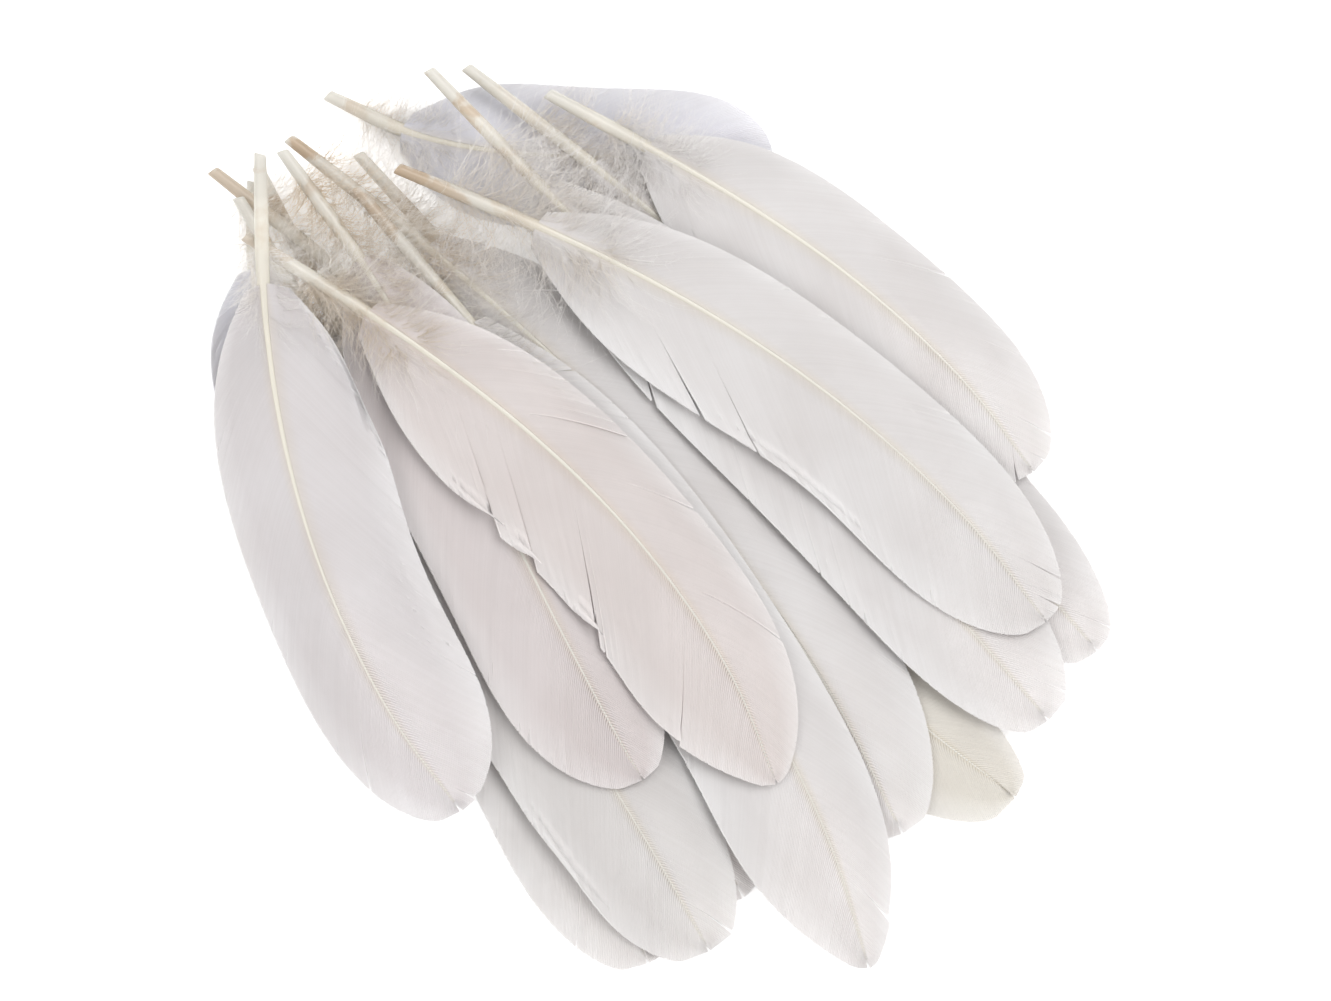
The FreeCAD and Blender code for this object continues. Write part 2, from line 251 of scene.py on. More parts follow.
def barb_tree() -> GeometryTree:
    """The tree that turns a guide sheet into a web of barbs.

    Each barb is a flat tapering strip with closed sides, laid flat on the sheet by the sheet's own
    normals.  It runs across the sheet's map from the shaft (0) to the vane's edge (1), and groups of
    barbs lean together towards the edge.
    """
    tree = GeometryTree(
        "barb_web",
        {
            "Barbs": 400,
            "Segments": 9,
            "Barb Width": 0.55 * MM,
            "Barb Thickness": 0.04 * MM,
            "Groups": 26.0,
            "Lean": 1.0,
            "Ragged": 0.006,
            "Loose Base": 0.02,
            "Seed": 0.0,
        },
    )
    given = tree.given
    spacing = tree.math("DIVIDE", 1.0, given["Barbs"])
    roots = tree.add(
        "GeometryNodeMeshLine",
        {"Count": given["Barbs"], "Start Location": (0.0, 0.0, 0.0), "Offset": tree.join(0.0, spacing)},
        mode="OFFSET",
    )
    strand = tree.add("GeometryNodeCurvePrimitiveLine", {"Start": (0, 0, 0), "End": (1, 0, 0)})
    strand = tree.add("GeometryNodeResampleCurve", {"Curve": strand.outputs[0], "Count": given["Segments"]})
    seated = {"Points": roots.outputs[0], "Instance": strand.outputs[0]}
    strands = tree.add("GeometryNodeInstanceOnPoints", seated)
    strands = tree.add("GeometryNodeRealizeInstances", {"Geometry": strands.outputs[0]})

    place = tree.add("ShaderNodeSeparateXYZ", {0: tree.add("GeometryNodeInputPosition").outputs[0]})
    across, along = place.outputs[0], place.outputs[1]
    seeded = tree.math("ADD", tree.math("MULTIPLY", along, 997.0), given["Seed"])
    chance = tree.add("ShaderNodeTexWhiteNoise", {"W": seeded}, noise_dimensions="1D").outputs[0]

    # Groups of uneven size.  Where two of them part, the barbs on both sides lean away from the gap.
    seeded_along = tree.math("ADD", along, given["Seed"])
    drift = {"W": seeded_along, "Scale": 19.0, "Detail": 2.0}
    wander = tree.add("ShaderNodeTexNoise", drift, noise_dimensions="1D")
    even = tree.math("MULTIPLY", along, given["Groups"])
    warped = tree.math("ADD", even, tree.math("MULTIPLY", wander.outputs[0], 3.0))
    group = tree.math("FLOOR", warped)
    lean = 0.0
    for ahead, way in ((0.0, 1.0), (1.0, -1.0)):
        parting = tree.math("ADD", tree.math("ADD", group, ahead), given["Seed"])
        strength = tree.add("ShaderNodeTexWhiteNoise", {"W": parting}, noise_dimensions="1D").outputs[0]
        strength = tree.math("MULTIPLY", tree.math("POWER", strength, RARE_PARTINGS), WIDEST_PARTING)
        away = tree.math("ABSOLUTE", tree.math("SUBTRACT", warped, tree.math("ADD", group, ahead)))
        near = tree.math("SUBTRACT", 1.0, away)
        push = tree.math("MULTIPLY", tree.math("MULTIPLY", near, near), tree.math("MULTIPLY", strength, way))
        lean = tree.math("ADD", lean, push)
    reach = tree.math("POWER", across, 2.6)
    pull = tree.math("MULTIPLY", tree.math("MULTIPLY", lean, reach), given["Lean"])
    shift = tree.math("MULTIPLY", tree.math("DIVIDE", pull, given["Groups"]), -1.0)

    # Loose barbs at the lower end of the vane stray on their own.
    base = tree.math("MAXIMUM", tree.math("SUBTRACT", LOOSE_SHARE, along), 0.0)
    looseness = tree.math("MULTIPLY", base, given["Loose Base"])
    stray = tree.math("MULTIPLY", tree.math("SUBTRACT", chance, 0.5), looseness)
    shift = tree.math("SUBTRACT", shift, tree.math("MULTIPLY", stray, across))
    moved = tree.math("SUBTRACT", along, shift)
    cut_short = tree.math("MULTIPLY", tree.math("POWER", chance, 4.0), given["Ragged"])
    reached = tree.math("MULTIPLY", tree.math("POWER", across, 1.3), tree.math("SUBTRACT", 1.0, cut_short))

    # Both values are read on the guide sheet, at the point of its map that the barb has reached.
    chart = tree.add("GeometryNodeInputNamedAttribute", {"Name": "chart"}, data_type="FLOAT_VECTOR")
    facing = tree.add("GeometryNodeInputNamedAttribute", {"Name": "facing"}, data_type="FLOAT_VECTOR")
    mapped = tree.join(reached, tree.math("MINIMUM", tree.math("MAXIMUM", moved, 0.0005), 0.9995))
    read = []
    for value in (tree.add("GeometryNodeInputPosition").outputs[0], tree.out(facing, "Attribute")):
        sources = {
            "Mesh": given["Guide"],
            "Value": value,
            "Source UV Map": tree.out(chart, "Attribute"),
            "Sample UV": mapped,
        }
        sample = tree.add("GeometryNodeSampleUVSurface", sources, data_type="FLOAT_VECTOR")
        read.append(tree.out(sample, "Value"))
    kept = strands.outputs[0]
    for title, value, kind in (
        ("barb_share", across, "FLOAT"),
        ("barb_chance", chance, "FLOAT"),
        ("barb_facing", read[1], "FLOAT_VECTOR"),
    ):
        stored = {"Geometry": kept, "Name": title, "Value": value}
        kept = tree.add("GeometryNodeStoreNamedAttribute", stored, data_type=kind).outputs[0]
    laid = tree.add("GeometryNodeSetPosition", {"Geometry": kept, "Position": read[0]})
    # A profile lies flat on the sheet when its axis is square to both the barb and the sheet's normal.
    upright = tree.add("GeometryNodeInputNamedAttribute", {"Name": "barb_facing"}, data_type="FLOAT_VECTOR")
    onward = tree.add("GeometryNodeInputTangent").outputs[0]
    pair = {0: onward, 1: tree.out(upright, "Attribute")}
    axis = tree.add("ShaderNodeVectorMath", pair, operation="CROSS_PRODUCT").outputs[0]
    turned = tree.add("GeometryNodeSetCurveNormal", {"Curve": laid.outputs[0], "Normal": axis}, mode="FREE")
    outline = tree.add(
        "GeometryNodeCurvePrimitiveQuadrilateral",
        {"Width": given["Barb Width"], "Height": given["Barb Thickness"]},
        mode="RECTANGLE",
    )
    tilt = (0.0, 0.0, math.radians(TILE_TILT))
    outline = tree.add("GeometryNodeTransform", {"Geometry": outline.outputs[0], "Rotation": tilt})
    share = tree.add("GeometryNodeSplineParameter").outputs[0]
    taper = tree.math("SUBTRACT", 1.0, tree.math("MULTIPLY", tree.math("POWER", share, 3.0), 0.15))
    web = tree.add(
        "GeometryNodeCurveToMesh",
        {"Curve": turned.outputs[0], "Profile Curve": outline.outputs[0], "Scale": taper, "Fill Caps": True},
    )
    tree.close(web.outputs[0])
    return tree


def down_tree() -> GeometryTree:
    """The tree that grows plumes of down on both sides of a guide line along the shaft."""
    tree = GeometryTree(
        "down_tuft",
        {
            "Plumes": 240,
            "Plume Length": 12.0 * MM,
            "Barbules": 8,
            "Barbule Length": 2.6 * MM,
            "Thickness": 0.055 * MM,
            "Spread": 1.0,
            "Tumble": 0.8,
            "Seed": 0,
        },
    )
    given = tree.given
    size = given["Plume Length"]
    middle = tree.join(tree.math("MULTIPLY", size, 0.5), tree.math("MULTIPLY", size, -0.06))
    end = tree.join(size, tree.math("MULTIPLY", size, 0.22), tree.math("MULTIPLY", size, 0.06))
    bow = {"Resolution": 5, "Start": (0, 0, 0), "Middle": middle, "End": end}
    stem = tree.add("GeometryNodeCurveQuadraticBezier", bow)
    round_off = tree.add("GeometryNodeCurvePrimitiveCircle", {"Resolution": 3, "Radius": given["Thickness"]})
    share = tree.add("GeometryNodeSplineParameter").outputs[0]
    taper = tree.math("SUBTRACT", 1.0, tree.math("MULTIPLY", share, 0.8))
    stem_mesh = tree.add(
        "GeometryNodeCurveToMesh",
        {"Curve": stem.outputs[0], "Profile Curve": round_off.outputs[0], "Scale": taper, "Fill Caps": True},
    )
    seats = tree.add("GeometryNodeResampleCurve", {"Curve": stem.outputs[0], "Count": given["Barbules"]})
    hair = tree.add(
        "GeometryNodeMeshCone",
        {
            "Vertices": 3,
            "Radius Top": 0.0,
            "Radius Bottom": tree.math("MULTIPLY", given["Thickness"], 0.6),
            "Depth": given["Barbule Length"],
        },
    )
    tangent = tree.add("GeometryNodeInputTangent").outputs[0]
    lined = tree.add("FunctionNodeAlignRotationToVector", {"Vector": tangent}, axis="Z")
    pieces = [stem_mesh.outputs[0]]
    for number, lean in enumerate((0.95, -0.95)):
        turned = tree.tumbled(lined.outputs[0], (-0.5, lean - 0.3, -0.5), (0.5, lean + 0.3, 0.5), number)
        shrink = tree.math("SUBTRACT", 1.0, tree.math("MULTIPLY", share, 0.55))
        hairs = tree.add(
            "GeometryNodeInstanceOnPoints",
            {"Points": seats.outputs[0], "Instance": hair.outputs[0], "Rotation": turned, "Scale": shrink},
        )
        pieces.append(hairs.outputs[0])
    plume = tree.add("GeometryNodeJoinGeometry")
    for piece in pieces:
        tree.tree.links.new(piece, plume.inputs[0])
    plume = tree.add("GeometryNodeRealizeInstances", {"Geometry": plume.outputs[0]})
    spot = tree.add("GeometryNodeInputPosition").outputs[0]
    gone = tree.math("DIVIDE", tree.add("ShaderNodeSeparateXYZ", {0: spot}).outputs[0], size)
    stored = {"Geometry": plume.outputs[0], "Name": "plume_share", "Value": gone}
    plume = tree.add("GeometryNodeStoreNamedAttribute", stored)

    line = tree.add("GeometryNodeMeshToCurve", {"Mesh": given["Guide"]})
    sides = tree.add("GeometryNodeJoinGeometry")
    for number, side in enumerate(Side):
        seed = tree.math("ADD", given["Seed"], 10 * number)
        seats = tree.add("GeometryNodeResampleCurve", {"Curve": line.outputs[0], "Count": given["Plumes"]})
        flat = tree.add("FunctionNodeAlignRotationToVector", {"Vector": tangent}, axis="X")
        spread = tree.math("MULTIPLY", given["Spread"], side.value)
        loose = given["Tumble"]
        upward = tree.math("MULTIPLY", loose, -0.5)
        low = tree.join(tree.math("MULTIPLY", loose, -1.0), upward, tree.math("SUBTRACT", spread, loose))
        high = tree.join(loose, tree.math("MULTIPLY", loose, 0.35), tree.math("ADD", spread, loose))
        turned = tree.tumbled(flat.outputs[0], low, high, seed)
        lengths = {"Min": 0.45, "Max": 1.25, "Seed": seed}
        length = tree.add("FunctionNodeRandomValue", lengths, data_type="FLOAT")
        tuft = tree.add(
            "GeometryNodeInstanceOnPoints",
            {
                "Points": seats.outputs[0],
                "Instance": plume.outputs[0],
                "Rotation": turned,
                "Scale": tree.out(length, "Value"),
            },
        )
        tree.tree.links.new(tuft.outputs[0], sides.inputs[0])
    whole = tree.add("GeometryNodeRealizeInstances", {"Geometry": sides.outputs[0]})
    waft = tree.add("ShaderNodeTexNoise", {"Scale": 95.0, "Detail": 2.0})
    halves = {0: waft.outputs["Color"], 1: (0.5, 0.5, 0.5)}
    centred = tree.add("ShaderNodeVectorMath", halves, operation="SUBTRACT")
    drift = tree.add("ShaderNodeVectorMath", {0: centred.outputs[0], "Scale": 5.0 * MM}, operation="SCALE")
    fluff = tree.add("GeometryNodeSetPosition", {"Geometry": whole.outputs[0], "Offset": drift.outputs[0]})
    lowest = (-1.0, -1.0, FLOOR_GAP)
    above = tree.add("ShaderNodeVectorMath", {0: spot, 1: lowest}, operation="MAXIMUM")
    fluff = tree.add("GeometryNodeSetPosition", {"Geometry": fluff.outputs[0], "Position": above.outputs[0]})
    tree.close(fluff.outputs[0])
    return tree


# ---------------------------------------------------------------------------------------------------
# Finishes


class ShaderTree(NodeBuilder):
    """A new material's shader tree."""

    def __init__(self, name: str) -> None:
        """Makes an empty material.

        Args:
            name: The material's name.
        """
        self.material = bpy.data.materials.new(name)
        self.material.use_nodes = True
        self.material.node_tree.nodes.clear()
        super().__init__(self.material.node_tree)

    def attribute(self, name: str) -> bpy.types.NodeSocket:
        """A number that the piece's own mesh carries."""
        return self.add("ShaderNodeAttribute", attribute_name=name).outputs["Fac"]

    def noise(self, scale: float, detail: float = 3.0) -> bpy.types.NodeSocket:
        """Soft patches over the piece's own coordinates."""
        spot = self.add("ShaderNodeTexCoord").outputs["Object"]
        return self.add("ShaderNodeTexNoise", {"Vector": spot, "Scale": scale, "Detail": detail}).outputs[0]

    def ramp(self, factor: Any, stops: dict[float, tuple[float, float, float]]) -> bpy.types.NodeSocket:
        """A colour ramp.

        Args:
            factor: The socket that it reads.
            stops: Colours by their place from 0 to 1.

        Returns:
            The colour's socket.
        """
        node = self.add("ShaderNodeValToRGB", {0: factor})
        band = node.color_ramp.elements
        for place in list(stops)[2:]:
            band.new(place)
        for element, (place, colour) in zip(band, stops.items()):
            element.position = place
            element.color = (*colour, 1.0)
        return node.outputs[0]

    def mix(self, factor: Any, first: Any, second: Any, blend: str = "MIX") -> bpy.types.NodeSocket:
        """Two colours mixed.

        Args:
            factor: How much of the second.
            first: A colour or its socket.
            second: A colour or its socket.
            blend: The Mix node's way of blending.

        Returns:
            The colour's socket.
        """
        node = self.add("ShaderNodeMix", {"Factor": factor}, data_type="RGBA", blend_type=blend)
        for key, value in (("A", first), ("B", second)):
            socket = self.find(node.inputs, key)
            if isinstance(value, bpy.types.NodeSocket):
                self.tree.links.new(value, socket)
            else:
                socket.default_value = (*value, 1.0)
        return self.out(node, "Result")

    def finish(self, shader: bpy.types.NodeSocket) -> bpy.types.Material:
        """Ends the tree and returns the material."""
        self.add("ShaderNodeOutputMaterial", {"Surface": shader})
        return self.material


@dataclass(frozen=True)
class WebFinish:
    """The matt, slightly see-through web of the vanes."""

    tint: Tint
    glow: float = 0.42
    roughness: float = 0.62
    sheen: float = 0.25

    def make(self) -> bpy.types.Material:
        """Makes the material: paler at the edges as a painted highlight, with each barb a little different."""
        tree = ShaderTree(f"web_{self.tint.name.lower()}")
        body = np.array(self.tint.value)
        root = tuple(body * (0.97, 0.95, 0.90))
        # Painted highlight: the colour towards the vane's edge is paled towards white, standing in for the
        # light that the raised, curled edges catch.
        edge = tuple(1.0 - (1.0 - body) * 0.55)
        stops = {0.0: root, 0.2: tuple(body), 0.75: tuple(body), 1.0: edge}
        shade = tree.ramp(tree.attribute("barb_share"), stops)
        patches = tree.ramp(tree.noise(45.0), {0.3: (0.955, 0.945, 0.94), 0.7: (1.0, 1.0, 1.0)})
        shade = tree.mix(1.0, shade, patches, "MULTIPLY")
        barbs = tree.ramp(tree.attribute("barb_chance"), {0.0: (0.975, 0.972, 0.970), 1.0: (1.0, 1.0, 1.0)})
        shade = tree.mix(1.0, shade, barbs, "MULTIPLY")
        surface = tree.add(
            "ShaderNodeBsdfPrincipled",
            {
                "Base Color": shade,
                "Roughness": self.roughness,
                "Sheen Weight": self.sheen,
                "Specular IOR Level": 0.3,
            },
        )
        through = tree.add("ShaderNodeBsdfTranslucent", {"Color": shade})
        both = tree.add("ShaderNodeMixShader", {0: self.glow, 1: surface.outputs[0], 2: through.outputs[0]})
        return tree.finish(both.outputs[0])


@dataclass(frozen=True)
class HornFinish:
    """The horn of the shafts: a milky, slightly clear barrel with stains, then a cream rachis."""

    stain: float = 0.5
    roughness: float = 0.34

    def make(self) -> bpy.types.Material:
        """Makes the material."""
        tree = ShaderTree(f"horn_{round(self.stain * 100):03d}")
        share = tree.attribute("shaft_share")
        clean = tree.ramp(
            share,
            {
                0.0: (0.82, 0.80, 0.75),
                0.08: (0.86, 0.835, 0.77),
                0.2: (0.83, 0.79, 0.69),
                0.5: (0.83, 0.80, 0.72),
                1.0: (0.84, 0.82, 0.78),
            },
        )
        patchy = tree.ramp(tree.noise(110.0, 5.0), {0.5: (0.0, 0.0, 0.0), 0.58: (1.0, 1.0, 1.0)})
        low = tree.ramp(share, {0.03: (1.0, 1.0, 1.0), 0.22: (0.0, 0.0, 0.0)})
        amount = tree.math("MULTIPLY", tree.math("MULTIPLY", low, patchy), self.stain)
        shade = tree.mix(amount, clean, (0.52, 0.33, 0.14))
        spot = tree.add("ShaderNodeTexCoord").outputs["Object"]
        grain = tree.add("ShaderNodeTexNoise", {"Vector": spot, "Scale": 900.0, "Detail": 2.0})
        bump = tree.add("ShaderNodeBump", {"Height": grain.outputs[0], "Strength": 0.15, "Distance": 0.1 * MM})
        surface = tree.add(
            "ShaderNodeBsdfPrincipled",
            {
                "Base Color": shade,
                "Roughness": self.roughness,
                "Coat Weight": 0.25,
                "Transmission Weight": tree.ramp(share, {0.08: (0.25, 0.25, 0.25), 0.2: (0.0, 0.0, 0.0)}),
                "Normal": bump.outputs[0],
            },
        )
        through = tree.add("ShaderNodeBsdfTranslucent", {"Color": shade})
        both = tree.add("ShaderNodeMixShader", {0: 0.3, 1: surface.outputs[0], 2: through.outputs[0]})
        return tree.finish(both.outputs[0])


@dataclass(frozen=True)
class FluffFinish:
    """The down: white wisps, tanned and greyed in patches towards the plumes' roots, partly the down's own
    colour and partly painted shade deep in the tuft.
    """

    # How far the plumes' roots darken to tan: partly the down's own colour, partly painted shade deep in the
    # tuft.
    tan: float = 0.5

    def make(self) -> bpy.types.Material:
        """Makes the material: tan near the shaft and white at the plumes' ends; the tan near the shaft is
        partly the down's own colour and partly painted shade.
        """
        tree = ShaderTree(f"fluff_{round(self.tan * 100):03d}")
        patches = tree.ramp(tree.noise(60.0), {0.42: (0.79, 0.68, 0.52), 0.62: (0.95, 0.925, 0.88)})
        # Partly painted shade: the plumes take the tan patches towards their roots, deep in the tuft where
        # shade falls, on top of the down's own tan; their ends stay white.
        inner = tree.ramp(tree.attribute("plume_share"), {0.2: (1.0, 1.0, 1.0), 1.0: (0.15, 0.15, 0.15)})
        shade = tree.mix(tree.math("MULTIPLY", inner, self.tan), (0.97, 0.96, 0.955), patches)
        matt = {"Base Color": shade, "Roughness": 0.8, "Sheen Weight": 0.4}
        surface = tree.add("ShaderNodeBsdfPrincipled", matt)
        through = tree.add("ShaderNodeBsdfTranslucent", {"Color": shade})
        both = tree.add("ShaderNodeMixShader", {0: 0.55, 1: surface.outputs[0], 2: through.outputs[0]})
        return tree.finish(both.outputs[0])


# ---------------------------------------------------------------------------------------------------
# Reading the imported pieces


@dataclass
class NodeShape:
    """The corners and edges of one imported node."""

    corners: np.ndarray
    edges: np.ndarray

    @classmethod
    def of(cls, node: str) -> "NodeShape":
        """Reads a node by name."""
        mesh = frame["nodes"][node].data
        corners = np.empty(len(mesh.vertices) * 3)
        mesh.vertices.foreach_get("co", corners)
        edges = np.empty(len(mesh.edges) * 2, dtype=np.int64)
        mesh.edges.foreach_get("vertices", edges)
        return cls(corners.reshape(-1, 3), edges.reshape(-1, 2))

    def cut(self, point: np.ndarray, normal: np.ndarray) -> np.ndarray:
        """Where a plane cuts the edges.

        Args:
            point: A point on the plane.
            normal: The plane's normal.

        Returns:
            The crossing points, one a row.
        """
        height = (self.corners - point) @ normal
        low, high = height[self.edges[:, 0]], height[self.edges[:, 1]]
        crossed = low * high < 0
        share = (low[crossed] / (low[crossed] - high[crossed]))[:, None]
        first, second = self.corners[self.edges[crossed, 0]], self.corners[self.edges[crossed, 1]]
        return first + (second - first) * share


@dataclass
class Spine:
    """A shaft's centreline from its mouth to its tip, with its radius."""

    points: np.ndarray
    radii: np.ndarray
    along: np.ndarray

    STEP = 2.0 * MM

    @classmethod
    def trace(cls, shape: NodeShape, mouth: np.ndarray, ahead: np.ndarray) -> "Spine":
        """Walks up a packed shaft, cutting it at each step.

        Args:
            shape: The shaft's node.
            mouth: The middle of the open end.
            ahead: The way that the barrel runs from there.

        Returns:
            The centreline.
        """
        points, radii = [], []
        place, radius = mouth + ahead * 0.1 * MM, 2.0 * MM
        while True:
            ring = shape.cut(place, ahead)
            ring = ring[np.linalg.norm(ring - place, axis=1) < 3.0 * radius + 0.5 * MM]
            if len(ring) < 4:
                break
            across = unit(np.cross(UP, ahead))
            sideways, rise = (ring - place) @ across, ring[:, 2]
            centre = place + across * (sideways.max() + sideways.min()) / 2
            centre[2] = (rise.max() + rise.min()) / 2
            radius = (sideways.max() - sideways.min()) / 2
            if len(points) > 2:
                ahead = unit(centre - points[-2])
            points.append(centre)
            radii.append(radius)
            place = centre + ahead * cls.STEP
        line = np.array(points)
        steps = np.linalg.norm(np.diff(line, axis=0), axis=1)
        return cls(line, np.array(radii), np.concatenate([[0.0], np.cumsum(steps)]))

    @property
    def length(self) -> float:
        """The length of the centreline."""
        return float(self.along[-1])

    def at(self, place: np.ndarray | float) -> np.ndarray:
        """Points at given lengths from the mouth, run on straight past the tip."""
        place = np.asarray(place, dtype=float)
        held = np.stack([np.interp(place, self.along, self.points[:, axis]) for axis in range(3)], axis=-1)
        over = np.maximum(place - self.length, 0.0)[..., None]
        return held + over * unit(self.points[-1] - self.points[-3])

    def ahead(self, place: np.ndarray | float) -> np.ndarray:
        """The level direction of travel at given lengths from the mouth."""
        place = np.clip(place, 1.5 * MM, self.length - 1.5 * MM)
        run = self.at(place + 1.5 * MM) - self.at(place - 1.5 * MM)
        run[..., 2] = 0.0
        return run / np.linalg.norm(run, axis=-1, keepdims=True)

    def left(self, place: np.ndarray | float) -> np.ndarray:
        """The level direction to the left at given lengths from the mouth."""
        run = self.ahead(place)
        return np.stack([-run[..., 1], run[..., 0], np.zeros(run.shape[:-1])], axis=-1)

    def radius(self, place: np.ndarray | float) -> np.ndarray:
        """The shaft's radius at given lengths from the mouth."""
        return np.interp(place, self.along, self.radii)


@dataclass
class VaneOutline:
    """How far a packed vane reaches from the shaft, and the height of its edge, along the shaft."""

    along: np.ndarray
    reach: np.ndarray
    rise: np.ndarray

    @classmethod
    def trace(cls, shape: NodeShape, spine: Spine) -> "VaneOutline":
        """Cuts a vane's node square to the shaft at close steps.

        Args:
            shape: The vane's node.
            spine: The feather's centreline.

        Returns:
            The outline, closed to nothing at the tip.
        """
        rows = []
        for place in np.arange(0.1 * spine.length, spine.length + 3 * MM, 1.0 * MM):
            centre, ahead, left = spine.at(place), spine.ahead(place), spine.left(place)
            cut = shape.cut(centre, ahead)
            if len(cut) < 3:
                continue
            out = np.abs((cut - centre) @ left)
            edge = cut[out > out.max() - 0.4 * MM]
            rows.append((place, out.max(), edge[:, 2].mean() - centre[2]))
        along, reach, rise = np.array(rows).T
        close = along[-1] + 0.8 * MM
        return cls(np.append(along, close), np.append(reach, 0.1 * MM), np.append(rise, rise[-1] * 0.2))


# ---------------------------------------------------------------------------------------------------
# The pieces of a feather


@dataclass(frozen=True)
class Fold:
    """A stretch of a vane's edge that rolls up and over, as shares of the vane's length."""

    side: Side
    start: float
    end: float
    width: float
    turn: float
    torn: bool = False
    radius: float = 0.7 * MM

    def amount(self, along: np.ndarray) -> np.ndarray:
        """How far the fold has opened at each share of the vane's length, from 0 to 1.

        A torn fold is widest at its upper end, where a parting lets it go.
        """
        if self.torn:
            return smooth((along - self.start) / (self.end - self.start)) * (along < self.end)
        middle, half = (self.start + self.end) / 2, (self.end - self.start) / 2
        return np.clip(1.0 - ((along - middle) / half) ** 2, 0.0, 1.0) ** 1.5

    def roll(self, along: np.ndarray, out: np.ndarray) -> tuple[np.ndarray, np.ndarray]:
        """Rolls the outer part of the sheet.

        Args:
            along: Each row's share of the vane's length.
            out: Each point's distance from the shaft; the last column is the edge.

        Returns:
            The distances after rolling, and the lift.
        """
        amount = self.amount(along)
        flap = np.maximum(out - (out[:, -1:] - self.width * amount), 0.0)
        turn = self.turn * amount
        arc = np.minimum(flap / self.radius, turn)
        rest = flap - arc * self.radius
        inward = flap - self.radius * np.sin(arc) - rest * np.cos(turn)
        return out - inward, self.radius * (1.0 - np.cos(arc)) + rest * np.sin(turn)


@dataclass(frozen=True)
class Parting:
    """A place where a vane has come apart: the barbs on both sides lean away and curl up."""

    side: Side
    place: float
    gap: float
    lift: float = 0.6 * MM
    width: float = 0.05
    depth: float = 2.2

    def push(self, along: np.ndarray, across: np.ndarray) -> np.ndarray:
        """How far each point of the sheet moves towards the tip."""
        away = along - self.place
        return 0.5 * self.gap * np.exp(-np.abs(away) / self.width) * np.sign(away) * across**self.depth

    def rise(self, along: np.ndarray, across: np.ndarray) -> np.ndarray:
        """The lift at each point; the lower side of the gap curls more than the upper side."""
        away = along - self.place
        near = np.exp(-np.abs(away) / (0.6 * self.width))
        return self.lift * near * np.where(away < 0, 1.0, 0.35) * across**1.8


def placed(name: str, data: bpy.types.ID) -> bpy.types.Object:
    """A new object in the scene that shows the given data."""
    made = bpy.data.objects.new(name, data)
    bpy.context.scene.collection.objects.link(made)
    return made


def mesh_object(name: str, corners: np.ndarray, faces: list[tuple[int, ...]]) -> bpy.types.Object:
    """A new mesh object in the scene.

    Args:
        name: The object's name.
        corners: Its corners, one a row.
        faces: Its faces, each a tuple of corner numbers, or edges where a tuple has two.

    Returns:
        The object.
    """
    mesh = bpy.data.meshes.new(name)
    edges = [face for face in faces if len(face) == 2]
    mesh.from_pydata([tuple(corner) for corner in corners], edges, [face for face in faces if len(face) > 2])
    mesh.update()
    return placed(name, mesh)


@dataclass
class Space:
    """The free space under a feather, over its whole swing in the fan."""

    below: BVHTree
    pivot: np.ndarray
    swing: float

    def under(self, point: np.ndarray) -> float:
        """How far a point can sink before it meets a lower feather or the floor."""
        room = point[2]
        for turn in (-self.swing, 0.0, self.swing):
            spin = Matrix.Rotation(turn, 3, "Z")
            spot = spin @ Vector(point - self.pivot) + Vector(self.pivot)
            hit = self.below.ray_cast(spot, Vector((0.0, 0.0, -1.0)))
            if hit[3] is not None:
                room = min(room, hit[3])
        return room


